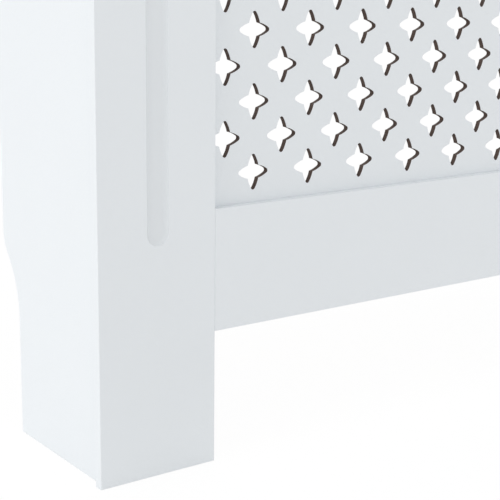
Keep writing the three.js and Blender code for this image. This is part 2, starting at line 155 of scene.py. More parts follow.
class FinishColours(bpy.types.PropertyGroup):
    paint: colour("Paint", "#edf1f4", "Cool white satin paint on boards and grille")
    raw_edge: colour("Raw edge", "#584942", "Cut edge of the hard fibreboard, inside the stars")
    raw_back: colour("Raw back", "#7b6450", "Unpainted reverse of the hard fibreboard")
    pine: colour("Pine", "#dfc195", "Early wood of the planed battens")
    pine_ring: colour("Pine ring", "#c1945f", "Late wood of the planed battens")
    beech: colour("Beech", "#cda479", "Dowels")
    zinc: colour("Zinc", "#c3c7cb", "Bright zinc plating of brackets and screws")
    floor: colour("Floor", "#f7f7f7", "Floor as the object's other surfaces see it")


class StudioLight(bpy.types.PropertyGroup):
    ambient: FloatProperty(name="Ambient", description="Even light from all round", default=0.829, min=0.0)
    key: FloatProperty(name="Key", description="Strength of the soft key lamp", default=0.69, min=0.0)
    fill: FloatProperty(name="Fill", description="Strength of the soft lamp behind", default=0.45, min=0.0)
    shadow: FloatProperty(
        name="Shadow",
        description="Share of the floor's own shading that the camera sees",
        default=0.1,
        min=0.0,
        max=1.0,
    )


class CabinetSettings(bpy.types.PropertyGroup):
    frame: PointerProperty(type=FrameSizes, name="Frame", description="Stiles, rails and side panels")
    grille: PointerProperty(type=GrilleSizes, name="Grille", description="The field of stars")
    top: PointerProperty(type=TopSizes, name="Top", description="The moulded top board")
    fittings: PointerProperty(type=FittingSizes, name="Fittings", description="What joins the boards")
    colours: PointerProperty(type=FinishColours, name="Colours", description="Colours of the finishes")
    light: PointerProperty(type=StudioLight, name="Light", description="Studio light and floor")


# ---------------------------------------- outlines


def turned(points, angles):
    """A copy of the points for each angle a, turned about the origin to (x cos a - y sin a,
    x sin a + y cos a)."""
    c, s = np.cos(angles)[:, None, None], np.sin(angles)[:, None, None]
    x, y = points[..., 0:1], points[..., 1:2]
    return np.concatenate([x * c - y * s, x * s + y * c], -1)


def arc(centre, radius, start, end, steps):
    """Points at even angles from start to end, in degrees, at a radius round a centre."""
    angle = np.radians(np.linspace(start, end, steps + 1))
    return np.array(centre) + radius * np.stack([np.cos(angle), np.sin(angle)], -1)


def rectangle(low, high):
    """The corners of a rectangle, counterclockwise."""
    return np.array([(low[0], low[1]), (high[0], low[1]), (high[0], high[1]), (low[0], high[1])], float)


def circle(centre, radius, sides):
    """Points at even angles round a centre, counterclockwise."""
    return arc(centre, radius, 0, 360, sides)[:-1]


def counterclockwise(loop):
    """The loop, or its reverse where its signed area, half the sum of cross products, is negative."""
    ahead = np.roll(loop, -1, 0)
    area = (loop[:, 0] * ahead[:, 1] - ahead[:, 0] * loop[:, 1]).sum()
    return loop if area > 0 else loop[::-1]


def star_outline(reach, tip, valley, shoulder):
    """A four-pointed star, counterclockwise. An arm's tip is an arc of radius tip that turns through twice
    the shoulder angle; each side runs on from it as a wider arc, tangent to it, whose radius is the one
    that takes it through the valley at (valley, valley)."""
    middle = reach - tip
    away = np.array([math.cos(shoulder), math.sin(shoulder)])
    corner = np.array([valley - middle, valley])
    extra = (corner @ corner - tip**2) / (2 * (tip - corner @ away))
    centre = np.array([middle, 0]) - extra * away
    lean = math.degrees(math.atan2(valley - centre[1], valley - centre[0]))
    half = np.vstack([
        arc((middle, 0), tip, 0, math.degrees(shoulder), 4),
        arc(centre, extra + tip, math.degrees(shoulder), lean, 5)[1:],
    ])
    arm = np.vstack([half[:0:-1] * (1, -1), half])[1:]
    return turned(arm, QUARTER_TURNS).reshape(-1, 2)


def mitres(loops):
    """The offset at each corner of closed loops: the sum of the outward normals of its two edges, divided
    by one plus their dot product, so that moving by it shifts both edges by one unit."""
    along = np.roll(loops, -1, -2) - loops
    along /= np.linalg.norm(along, axis=-1, keepdims=True)
    after = np.stack([along[..., 1], -along[..., 0]], -1)
    before = np.roll(after, 1, -2)
    return (after + before) / (1 + (after * before).sum(-1, keepdims=True))


def round_over(radius, steps=3):
    """Profile of a quarter round from a face down to a wall: inset r (1 - sin a), depth r (1 - cos a)."""
    a = np.linspace(0, math.pi / 2, steps + 1)
    return np.stack([radius * (1 - np.sin(a)), radius * (1 - np.cos(a))], -1)


def board_edge(radius, depth, back=None):
    """Profile of a board's edge: a round over at the face, the wall, and a round over at the back."""
    near, far = round_over(radius), round_over(back or radius)[::-1]
    return np.vstack([near, np.stack([far[:, 0], depth - far[:, 1]], -1)])


FLUTE_END_STEPS, FLUTE_RIM_STEPS, FLUTE_COVE_STEPS = 48, 3, 8


def routed_flute(rim, cove, depth):
    """Profile of a routed flute: a rim arc that turns down to the slope whose cosine is
    1 - depth / (rim + cove), and a cove, tangent to it, that turns level again at the floor."""
    steep = math.acos(1 - depth / (rim + cove))
    a, b = np.linspace(0, steep, FLUTE_RIM_STEPS + 1), np.linspace(steep, 0, FLUTE_COVE_STEPS + 1)[1:]
    lip = np.stack([rim * (math.sin(steep) - np.sin(a)), rim * (1 - np.cos(a))], -1)
    bowl = np.stack([cove * (np.sin(b) - math.sin(steep)), cove * (np.cos(b) - math.cos(steep))], -1)
    return np.vstack([lip, lip[-1] + bowl])


# ---------------------------------------- surfaces


ONLY_INSIDE = 1  # the kind of triangulation that gives the triangles inside the rings
SAME_SPOT = 1e-6  # distance in mm under which two points are one


class Shell:
    """A closed surface under way, in a board's own (u, v, depth): rings of points, walls and lids."""

    def __init__(self):
        self.points = np.empty((0, 3))
        self.faces, self.finishes = [], []

    def add_faces(self, corners, finish):
        """Adds faces of one size by their point numbers, with one finish number or one for each."""
        self.faces.append(np.asarray(corners))
        self.finishes.append(np.broadcast_to(finish, len(corners)))

    def add_points(self, grid):
        """Adds a grid of points and gives back their numbers in the same grid."""
        numbers = len(self.points) + np.arange(grid[..., 0].size).reshape(grid.shape[:-1])
        self.points = np.vstack([self.points, grid.reshape(-1, 3)])
        return numbers

    def join(self, rings, finish=0):
        """Walls between consecutive rings of a (..., rings, n) grid of point numbers. finish is one number,
        or one for each wall."""
        ahead = np.roll(rings, -1, -1)
        quads = np.stack([rings[..., :-1, :], rings[..., 1:, :], ahead[..., 1:, :], ahead[..., :-1, :]], -1)
        finishes = np.broadcast_to(np.reshape(finish, (-1, 1)), quads.shape[:-1])
        self.add_faces(quads.reshape(-1, 4), finishes.ravel())
        return rings

    def carry(self, loops, profile, finish=0, lean=None):
        """Carries a profile round loops: ring k is the loop moved in by inset k along its mitres, or along
        lean, at depth k. Material lies to the left of a loop."""
        inset, depth = np.asarray(profile, float).T
        lean = mitres(loops) if lean is None else lean
        flat = loops[..., None, :, :] - inset[:, None, None] * lean[..., None, :, :]
        level = np.broadcast_to(depth[:, None, None], flat.shape[:-1] + (1,))
        return self.join(self.add_points(np.concatenate([flat, level], -1)), finish)

    def lid(self, outer, holes=(), finish=0, back=False, ties=()):
        """A flat lid between an outer ring and the rings of its holes: the constrained Delaunay triangles
        that lie in the outer ring alone. ties are pairs of the outer ring's places that get an edge."""
        rings = [outer, *(hole[::-1] for hole in holes)]
        numbers = np.concatenate(rings)
        spots = (self.points[numbers, :2] / MM).tolist()
        ends = np.cumsum([len(ring) for ring in rings])
        runs = [list(range(end - len(ring), end)) for ring, end in zip(rings, ends)]
        found, source, _, within = delaunay_2d_cdt(spots, list(ties), runs, ONLY_INSIDE, SAME_SPOT)[2:]
        kept = np.array([corners for corners, inside in zip(found, within) if inside == [0]])
        corners = numbers[np.array([places[0] for places in source])][kept]
        self.add_faces(corners[:, ::-1] if back else corners, finish)

    def cap(self, ring, finish=0, back=False):
        """One flat face over a ring with no holes."""
        self.add_faces([ring[::-1] if back else ring], finish)

    def pocket(self, loop, profile, finish=0):
        """A blind recess: the profile carried round the loop and closed by a floor. Returns its rim."""
        rings = self.carry(counterclockwise(loop)[::-1], profile, finish)
        self.cap(rings[-1][::-1], finish if np.isscalar(finish) else finish[-1])
        return rings[0]


def slab(outline, depth, arris, back_arris=None, pockets=(), routed=0):
    """A board: its edge carried round the outline, a back lid, and a face pierced by its pockets. Finish 1
    is on the cut edge between the arrises, routed on the pockets and 0 on the rest."""
    shell = Shell()
    profile = board_edge(arris, depth, back_arris)
    walls = np.zeros(len(profile) - 1, int)
    walls[len(walls) // 2] = 1
    rings = shell.carry(counterclockwise(outline), profile, walls)
    rims = [shell.pocket(loop, recess, routed) for loop, recess in pockets]
    shell.lid(rings[0], rims)
    shell.lid(rings[-1], back=True)
    return shell


def face_front(y):
    """The place of a board whose face looks to the front at y, with u along X and v along Z."""
    return (0, y, 0), (1, 0, 0), (0, 0, 1)


def add_piece(node, suffix, shell, place, materials, crease=35):
    """Puts a shell in the object's frame as the piece that stands for a CAD node. place is origin, across
    and up: (u, v, depth) goes to origin + u across + v up + depth (up x across)."""
    origin, across, up = (np.array(row, float) for row in place)
    points = origin + shell.points @ np.array([across, up, np.cross(up, across)])
    mesh = bpy.data.meshes.new(f"{node}_{suffix}")
    mesh.from_pydata(points.tolist(), [], [face for block in shell.faces for face in block.tolist()])
    for material in materials:
        mesh.materials.append(material)
    mesh.polygons.foreach_set("material_index", np.concatenate(shell.finishes).astype(np.int32))
    mesh.shade_smooth()
    mesh.set_sharp_from_angle(angle=math.radians(crease))
    mesh.update()
    piece = bpy.data.objects.new(f"{node}_{suffix}", mesh)
    bpy.context.scene.collection.objects.link(piece)
    shading = piece.modifiers.new("Even shading", "WEIGHTED_NORMAL")
    shading.mode = "FACE_AREA"
    shading.keep_sharp = True
    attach(piece, BODY)
    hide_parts(node)
    return piece


def box(node):
    """Lowest and highest corner of a CAD node as arrays."""
    low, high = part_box(node)
    return np.array(low), np.array(high)


# ---------------------------------------- finishes


def add_node(tree, kind, feeds=None, **settings):
    """Adds a shader node of a kind such as TexNoise. settings are its own properties; feeds gives its
    inputs, by name or number, a value, a socket to link or a node whose first socket is linked."""
    made = tree.nodes.new("ShaderNode" + kind)
    for name, value in settings.items():
        setattr(made, name, value)
    for place, value in (feeds or {}).items():
        if isinstance(value, bpy.types.Node):
            value = value.outputs[0]
        if isinstance(value, bpy.types.NodeSocket):
            tree.links.new(value, made.inputs[place])
        else:
            made.inputs[place].default_value = value
    return made


def new_material(name):
    """A new material, its empty tree, and the socket of its Object coordinates."""
    material = bpy.data.materials.new(name)
    material.use_nodes = True
    tree = material.node_tree
    tree.nodes.clear()
    return material, tree, add_node(tree, "TexCoord").outputs["Object"]


# Places of a Mix node's sockets when it mixes colours
FACTOR, FIRST, SECOND, MIXED = 0, 6, 7, 2


def shade(rgb, share=1.0):
    """A colour at a share of its lightness, with full alpha."""
    return (*(channel * share for channel in rgb), 1.0)


WAVE_AT_ONE = 2 * math.pi / 20  # how far a wave texture at scale one runs from crest to crest
FLUTE_SHADE_SHARE = 0.946  # of the paint's lightness in the flute: painted shade that darkens the hollow
HARDBOARD_SHARE = 0.988  # of the paint's lightness on the grille, a touch darker than on the boards


def satin_paint(name, rgb, fibre):
    """Satin acrylic sprayed on sanded fibreboard. The eye gets a cool white with a soft sheen, a faint
    orange peel about 2 mm from crest to crest, and a fine fibre that stands up more on cut edges."""
    material, tree, spot = new_material(name)
    drift = add_node(tree, "TexNoise", {"Vector": spot, "Scale": 1 / (60 * MM), "Detail": 2.0})
    dark, light = shade(rgb, 0.985), shade(rgb)
    tone = add_node(tree, "Mix", {FACTOR: drift, FIRST: dark, SECOND: light}, data_type="RGBA")
    cloud = add_node(tree, "TexNoise", {"Vector": spot, "Scale": 1 / (9 * MM), "Detail": 2.0})
    sheen = add_node(
        tree,
        "MapRange",
        {"Value": cloud, "From Min": 0.3, "From Max": 0.7, "To Min": 0.4, "To Max": 0.5},
    )
    peel = add_node(tree, "TexNoise", {"Vector": spot, "Scale": 1 / (2.2 * MM), "Detail": 1.0})
    hairs = add_node(tree, "TexNoise", {"Vector": spot, "Scale": 1 / (0.6 * MM), "Detail": 2.0})
    ripple = add_node(tree, "Bump", {"Distance": 0.07 * MM, "Height": peel})
    skin = add_node(tree, "Bump", {"Distance": fibre, "Height": hairs, "Normal": ripple})
    shader = add_node(
        tree,
        "BsdfPrincipled",
        {"Base Color": tone.outputs[MIXED], "Roughness": sheen, "IOR": 1.5, "Normal": skin},
    )
    add_node(tree, "OutputMaterial", {"Surface": shader})
    return material


def raw_hardboard(name, rgb, mesh_pitch=0.0):
    """Hard fibreboard, steam pressed and unpainted. A cut edge shows dark matted fibres; the reverse shows
    the woven screen that it was pressed on, drawn twice as coarse as a real one so that it can be seen."""
    material, tree, spot = new_material(name)
    mats = add_node(
        tree, "TexNoise", {"Vector": spot, "Scale": 1 / (1.2 * MM), "Detail": 4.0, "Roughness": 0.6}
    )
    dark, light = shade(rgb, 0.7), shade(rgb, 1.3)
    tone = add_node(tree, "Mix", {FACTOR: mats, FIRST: dark, SECOND: light}, data_type="RGBA")
    height = mats
    if mesh_pitch:
        bands = [
            add_node(
                tree,
                "TexWave",
                {"Vector": spot, "Scale": WAVE_AT_ONE / mesh_pitch, "Distortion": 0.6, "Detail": 1.0},
                bands_direction=axis,
            )
            for axis in ("X", "Z")
        ]
        weave = add_node(
            tree, "Math", {0: bands[0].outputs[1], 1: bands[1].outputs[1]}, operation="MULTIPLY"
        )
        height = add_node(tree, "Math", {0: weave, 1: height}, operation="ADD")
    rough = add_node(tree, "Bump", {"Distance": 0.15 * MM, "Height": height})
    shader = add_node(
        tree,
        "BsdfPrincipled",
        {"Base Color": tone.outputs[MIXED], "Roughness": 0.85, "IOR": 1.45, "Normal": rough},
    )
    add_node(tree, "OutputMaterial", {"Surface": shader})
    return material


def planed_pine(name, early, late, grain):
    """Planed softwood with its grain along axis number grain. The eye gets straight growth rings about
    3 mm apart, paler between them, with long fine pores and a dull planed surface."""
    material, tree, spot = new_material(name)
    stretch = [1.0, 1.0, 1.0]
    stretch[grain] = 0.05
    turn = add_node(
        tree, "Mapping", {"Vector": spot, "Rotation": (0.3, 0.2, 0.5), "Scale": tuple(stretch)}
    )
    drawn = add_node(tree, "Mapping", {"Vector": spot, "Scale": tuple(stretch)})
    rings = add_node(
        tree,
        "TexWave",
        {"Vector": turn, "Scale": WAVE_AT_ONE / (3.2 * MM), "Distortion": 2.5, "Detail": 2.0},
        bands_direction="XYZ"[(grain + 1) % 3],
        wave_profile="SAW",
    )
    pores = add_node(tree, "TexNoise", {"Vector": drawn, "Scale": 1 / (0.5 * MM), "Detail": 3.0})
    early, late = shade(early), shade(late)
    wood = add_node(
        tree, "Mix", {FACTOR: rings.outputs[1], FIRST: early, SECOND: late}, data_type="RGBA"
    )
    tone = add_node(
        tree,
        "Mix",
        {FACTOR: 0.35, FIRST: wood.outputs[MIXED], SECOND: pores},
        data_type="RGBA",
        blend_type="SOFT_LIGHT",
    )
    planed = add_node(tree, "Bump", {"Distance": 0.08 * MM, "Height": pores})
    shader = add_node(
        tree,
        "BsdfPrincipled",
        {"Base Color": tone.outputs[MIXED], "Roughness": 0.62, "IOR": 1.5, "Normal": planed},
    )
    add_node(tree, "OutputMaterial", {"Surface": shader})
    return material


def steamed_beech(name, rgb):
    """Turned and fluted beech. The eye gets an even pinkish tan with short dark flecks along the dowel."""
    material, tree, spot = new_material(name)
    drawn = add_node(tree, "Mapping", {"Vector": spot, "Scale": (0.2, 1.0, 1.0)})
    flecks = add_node(tree, "TexVoronoi", {"Vector": drawn, "Scale": 1 / (0.7 * MM)})
    dark, light = shade(rgb, 0.75), shade(rgb, 1.05)
    tone = add_node(tree, "Mix", {FACTOR: flecks, FIRST: dark, SECOND: light}, data_type="RGBA")
    grain = add_node(tree, "Bump", {"Distance": 0.04 * MM, "Height": flecks})
    shader = add_node(
        tree,
        "BsdfPrincipled",
        {"Base Color": tone.outputs[MIXED], "Roughness": 0.58, "IOR": 1.5, "Normal": grain},
    )
    add_node(tree, "OutputMaterial", {"Surface": shader})
    return material


def zinc_plate(name, rgb):
    """Bright zinc electroplated on steel. The eye gets a cool grey metal whose gloss and bluish tint vary
    in soft clouds, with fine rolling marks."""
    material, tree, spot = new_material(name)
    clouds = add_node(tree, "TexNoise", {"Vector": spot, "Scale": 1 / (6 * MM), "Detail": 3.0})
    grey, blue = shade(rgb), (rgb[0] * 0.88, rgb[1] * 0.95, rgb[2] * 1.04, 1.0)
    tone = add_node(tree, "Mix", {FACTOR: clouds, FIRST: grey, SECOND: blue}, data_type="RGBA")
    gloss = add_node(
        tree,
        "MapRange",
        {"Value": clouds, "From Min": 0.3, "From Max": 0.7, "To Min": 0.24, "To Max": 0.4},
    )
    marks = add_node(tree, "TexNoise", {"Vector": spot, "Scale": 1 / (0.8 * MM), "Detail": 2.0})
    rolled = add_node(tree, "Bump", {"Distance": 0.01 * MM, "Height": marks})
    shader = add_node(
        tree,
        "BsdfPrincipled",
        {"Base Color": tone.outputs[MIXED], "Metallic": 1.0, "Roughness": gloss, "Normal": rolled},
    )
    add_node(tree, "OutputMaterial", {"Surface": shader})
    return material


FACE_PAINT = "satin paint on fibreboard"
EDGE_PAINT = "satin paint on cut edges"
# the flute's paint is darker only as painted shade for the hollow of the groove
FLUTE_SHADE_PAINT = "satin paint darkened for flute shade"
HARDBOARD_PAINT = "satin paint on hardboard"
ZINC = "bright zinc plated steel"
FINISHES = {
    FACE_PAINT: lambda name, c: satin_paint(name, c.paint, fibre=0.01 * MM),
    EDGE_PAINT: lambda name, c: satin_paint(name, c.paint, fibre=0.03 * MM),
    FLUTE_SHADE_PAINT: lambda name, c: satin_paint(name, shade(c.paint, FLUTE_SHADE_SHARE)[:3], fibre=0.02 * MM),
    HARDBOARD_PAINT: lambda name, c: satin_paint(
        name, shade(c.paint, HARDBOARD_SHARE)[:3], fibre=0.01 * MM
    ),
    "raw hardboard edge": lambda name, c: raw_hardboard(name, c.raw_edge),
    "raw hardboard reverse": lambda name, c: raw_hardboard(name, c.raw_back, mesh_pitch=3 * MM),
    "planed pine along x": lambda name, c: planed_pine(name, c.pine, c.pine_ring, grain=0),
    "planed pine along y": lambda name, c: planed_pine(name, c.pine, c.pine_ring, grain=1),
    "planed pine along z": lambda name, c: planed_pine(name, c.pine, c.pine_ring, grain=2),
    "steamed beech": lambda name, c: steamed_beech(name, c.beech),
    ZINC: lambda name, c: zinc_plate(name, c.zinc),
}


def get_finishes(*names):
    """The finishes of those names, each made the first time that a piece asks for it."""
    colours = bpy.context.scene.radiator_cover.colours
    return [bpy.data.materials.get(name) or FINISHES[name](name, colours) for name in names]


# ---------------------------------------- operators


class RADIATORCOVER_OT_stiles(bpy.types.Operator):
    """Two upright boards, each with one round-ended flute routed down its face"""

    bl_idname = "radiator_cover.stiles"
    bl_label = "Stiles"

    def execute(self, context):
        sizes = context.scene.radiator_cover.frame
        routed = routed_flute(sizes.flute_rim, sizes.flute_cove, sizes.flute_depth)
        # finish 2, on the flute's cove and floor, is the paint darkened as painted shade
        rim_then_cove = np.repeat((0, 2), (FLUTE_RIM_STEPS, FLUTE_COVE_STEPS))
        half = sizes.flute_width / 2
        for side in SIDES:
            low, high = box(f"{side}_stile")
            middle = (low[0] + high[0]) / 2
            flute = np.vstack([
                arc((middle, sizes.flute_head - half), half, 0, 180, FLUTE_END_STEPS),
                arc((middle, sizes.flute_foot + half), half, 180, 360, FLUTE_END_STEPS),
            ])
            outline = rectangle(low[[0, 2]], high[[0, 2]])
            thick, pockets = high[1] - low[1], [(flute, routed)]
            shell = slab(outline, thick, sizes.arris, sizes.back_arris, pockets, rim_then_cove)
            paints = get_finishes(FACE_PAINT, EDGE_PAINT, FLUTE_SHADE_PAINT)
            add_piece(f"{side}_stile", "fluted_board", shell, face_front(low[1]), paints)
        return {"FINISHED"}


class RADIATORCOVER_OT_rails(bpy.types.Operator):
    """Two level boards between the stiles, their ends meeting the stiles at a fine seam"""

    bl_idname = "radiator_cover.rails"
    bl_label = "Rails"

    def execute(self, context):
        sizes = context.scene.radiator_cover.frame
        for node in ("bottom_rail", "top_rail"):
            low, high = box(node)
            outline = rectangle(low[[0, 2]], high[[0, 2]])
            shell = slab(outline, high[1] - low[1], sizes.arris, sizes.back_arris)
            paints = get_finishes(FACE_PAINT, EDGE_PAINT)
            add_piece(node, "board", shell, face_front(low[1]), paints)
        return {"FINISHED"}


HOLLOW_STEPS, CROWN_STEPS = 30, 16


class RADIATORCOVER_OT_side_panels(bpy.types.Operator):
    """Two side boards, cut out at the back of the foot in an S-curve that clears a skirting board"""

    bl_idname = "radiator_cover.side_panels"
    bl_label = "Side panels"

    def execute(self, context):
        sizes = context.scene.radiator_cover.frame
        crown, hollow = sizes.skirting_crown, sizes.skirting_hollow
        turn = math.acos(1 - sizes.skirting_depth / (crown + hollow))
        spring = sizes.skirting_top - (crown + hollow) * math.sin(turn)
        lean = math.degrees(turn)
        for side, sign in SIDES.items():
            node = f"{side}_side_panel"
            low, high = box(node)
            wall = high[1]
            cut = wall - sizes.skirting_depth
            outline = np.vstack([
                [(low[1], 0), (cut, 0)],
                arc((cut + hollow, spring), hollow, 180, 180 - lean, HOLLOW_STEPS),
                arc((wall - crown, sizes.skirting_top), crown, -lean, 0, CROWN_STEPS)[1:],
                [(wall, high[2]), (low[1], high[2])],
            ])
            outer = high[0] if sign > 0 else low[0]
            shell = slab(outline * (sign, 1), high[0] - low[0], sizes.arris)
            place = ((outer, 0, 0), (0, sign, 0), (0, 0, 1))
            paints = get_finishes(FACE_PAINT, EDGE_PAINT)
            add_piece(node, "cut_board", shell, place, paints)
        return {"FINISHED"}


class RADIATORCOVER_OT_grille(bpy.types.Operator):
    """A thin hard sheet with a staggered field of four-pointed stars, painted on its face only"""

    bl_idname = "radiator_cover.grille"
    bl_label = "Grille"

    def execute(self, context):
        sizes = context.scene.radiator_cover.grille
        low, high = box("grille_panel")
        star = star_outline(sizes.reach, sizes.tip, sizes.valley, sizes.shoulder)
        column, row = np.meshgrid(np.arange(sizes.columns), np.arange(sizes.rows), indexing="ij")
        used = (column + row) % 2 == 1
        centre = (low[[0, 2]] + high[[0, 2]]) / 2
        field = np.stack([column[used] - (sizes.columns - 1) / 2, row[used] - (sizes.rows - 1) / 2], -1)
        stars = (centre + field * sizes.pitch / 2)[:, None] + star[::-1]
        thick = high[1] - low[1]
        paint, raw, reverse = 0, 1, 2
        shell = Shell()
        edge = board_edge(sizes.rim, thick)
        walls = np.repeat((paint, raw, reverse), (3, 1, 3))
        outer = shell.carry(rectangle(low[[0, 2]], high[[0, 2]]), edge, walls)
        pierced = np.vstack([round_over(sizes.rim), [(0, thick)]])
        rings = shell.carry(stars, pierced, np.repeat((paint, raw), (3, 1)))
        shell.lid(outer[0], rings[:, 0], paint)
        shell.lid(outer[-1], rings[:, -1], reverse, back=True)
        skins = get_finishes(HARDBOARD_PAINT, "raw hardboard edge", "raw hardboard reverse")
        add_piece("grille_panel", "star_sheet", shell, face_front(low[1]), skins)
        return {"FINISHED"}


OGEE_STEPS, CORNER_STEPS = 8, 16


class RADIATORCOVER_OT_top_board(bpy.types.Operator):
    """The shelf, with an ogee moulding round its front and ends and a plain edge at the wall"""

    bl_idname = "radiator_cover.top_board"
    bl_label = "Top board"

    def execute(self, context):
        sizes = context.scene.radiator_cover.top
        low, high = box("top_board")
        thick, r = high[2] - low[2], sizes.ogee
        a = np.linspace(0, math.pi / 2, OGEE_STEPS + 1)
        cove = np.stack([r * (1 + np.cos(a)), thick - (sizes.nose + r * (2 - np.sin(a)))], -1)
        nose = np.stack([r * (1 - np.sin(a)), thick - (sizes.nose + r * np.cos(a))], -1)
        rim = round_over(sizes.rim) + (2 * r, 0)
        foot = round_over(sizes.arris, 4)[::-1] * (1, -1) + (0, thick)
        profile = np.vstack([rim, cove, nose[1:], foot])
        reach, front = high[0] - sizes.corner, low[1] + sizes.corner
        corners = [
            arc((-reach, front), sizes.corner, 180, 270, CORNER_STEPS),
            arc((reach, front), sizes.corner, 270, 360, CORNER_STEPS),
        ]
        loop = np.vstack([[(low[0], high[1])], *corners, [(high[0], high[1])]])
        lean = mitres(loop)
        lean[[0, -1]] = [(-1, 0), (1, 0)]
        shell = Shell()
        rings = shell.carry(loop, profile, lean=lean)
        shell.lid(rings[0])
        shell.lid(rings[-1], back=True)
        place = ((0, 0, high[2]), (1, 0, 0), (0, 1, 0))
        add_piece("top_board", "moulded_shelf", shell, place, get_finishes(FACE_PAINT))
        return {"FINISHED"}


SINK_RIM = 3.35 * MM
SINK_CONE = 1.7 * MM  # how far the cone goes in, and how much narrower it gets
SINK_BORE = 6 * MM
SINK_SIDES = 24

# The screws whose tips point to the front or the left. Those of the others point up or to the right.
BACKWARD_SCREWS = (
    "grille_screw",
    "rail_screw",
    "left_corner_screw",
    "right_corner_screw",
    "left_side_screw",
)


def sink(shell, spot):
    """A countersunk hole in a shell, a cone in from the rim and then a straight bore. Returns its rim."""
    profile = np.array([(0, 0), (-SINK_CONE, SINK_CONE), (-SINK_CONE, SINK_BORE)])
    return shell.pocket(circle(spot, SINK_RIM, SINK_SIDES), profile)


def lies_level(direction):
    """Whether a unit direction lies level rather than upright."""
    return abs(direction[2]) < 0.5


def screw_head(node):
    """A screw's head end, the unit direction of its tip and its length, from its CAD node's box."""
    low, high = box(node)
    axis = int(np.argmax(high - low))
    sign = -1 if node.startswith(BACKWARD_SCREWS) else 1
    direction = np.zeros(3)
    direction[axis] = sign
    head = (low + high) / 2
    head[axis] = low[axis] if sign > 0 else high[axis]
    return head, direction, high[axis] - low[axis]


class RADIATORCOVER_OT_battens(bpy.types.Operator):
    """Five planed square battens, countersunk for the screws that pass through them"""

    bl_idname = "radiator_cover.battens"
    bl_label = "Battens"

    def execute(self, context):
        arris = context.scene.radiator_cover.fittings.batten_arris
        screws = {
            "front_top_batten": ("rail_screw", "front_top_screw"),
            "left_corner_batten": ("left_corner_screw",),
            "right_corner_batten": ("right_corner_screw",),
            "left_top_batten": ("left_side_screw", "left_top_screw"),
            "right_top_batten": ("right_side_screw", "right_top_screw"),
        }
        for node, stems in screws.items():
            low, high = box(node)
            heads = [screw_head(n) for n in frame["nodes"] if n.startswith(stems)]
            inward = next(-d for _, d, _ in heads if lies_level(d))
            up = np.array([0.0, 0.0, 1.0])
            across = np.cross(up, inward)
            centre = (low + high) / 2
            half = (high - low) / 2
            origin = centre + inward * half
            width = abs(across) @ half
            shell = Shell()
            outline = rectangle((-width, -half[2]), (width, half[2]))
            rings = shell.carry(outline, board_edge(arris, 2 * abs(inward) @ half))
            level = [h - origin for h, d, _ in heads if lies_level(d)]
            upright = [h - origin for h, d, _ in heads if not lies_level(d)]
            shell.lid(rings[0], [sink(shell, (h @ across, h @ up)) for h in level])
            shell.lid(rings[-1], back=True)
            if upright:
                self.sink_below(shell, rings, [(h @ across, -h @ inward) for h in upright], -half[2])
            grain = "xyz"[int(np.argmax(half))]
            pine = get_finishes(f"planed pine along {grain}")
            add_piece(node, "planed", shell, (origin, across, up), pine)
        return {"FINISHED"}

    def sink_below(self, shell, rings, spots, foot):
        """Replaces the plain wall under a batten by one with countersunk pockets at (u, depth) spots: the
        pockets are made flat in (u, depth) and then stood on end."""
        wall = len(rings) // 2 - 1
        quad = [rings[wall, 0], rings[wall, 1], rings[wall + 1, 1], rings[wall + 1, 0]]
        block = next(i for i, faces in enumerate(shell.faces) if faces.shape[1] == 4)
        kept = [set(face) != set(quad) for face in shell.faces[block].tolist()]
        shell.faces[block] = shell.faces[block][kept]
        shell.finishes[block] = shell.finishes[block][kept]
        flat = Shell()
        rim = flat.add_points(shell.points[quad][:, [0, 2, 1]] * (1, 1, 0))
        flat.lid(rim, [sink(flat, spot) for spot in spots])
        numbers = np.concatenate([quad, len(shell.points) + np.arange(len(flat.points) - 4)])
        shell.points = np.vstack([shell.points, flat.points[4:][:, [0, 2, 1]] + (0, foot, 0)])
        for faces, finishes in zip(flat.faces, flat.finishes):
            shell.add_faces(numbers[faces[:, ::-1]], finishes)


STRIP_ROUND, STRIP_ROUND_STEPS = 4 * MM, 6
STRIP_ARRIS = 0.25 * MM
BEND_STEPS = 10
WALL_HOLE_DROPS = (15 * MM, 32 * MM)  # down from the bracket's top
WALL_HOLE_SIDES = 32


def bent(points, flat, curve, outer):
    """A strip's points (u, s, depth) bent down: level up to s = flat, round a quarter turn that is curve
    long and has the radius outer outside, then upright. Depth is inwards."""
    u, s, depth = points.T
    angle = np.clip((s - flat) / curve, 0, 1) * math.pi / 2
    level, down = np.minimum(s - flat, 0), np.maximum(s - flat - curve, 0)
    along = level + (outer - depth) * np.sin(angle)
    height = (outer - depth) * np.cos(angle) - down
    return np.stack([u, along, height], -1)


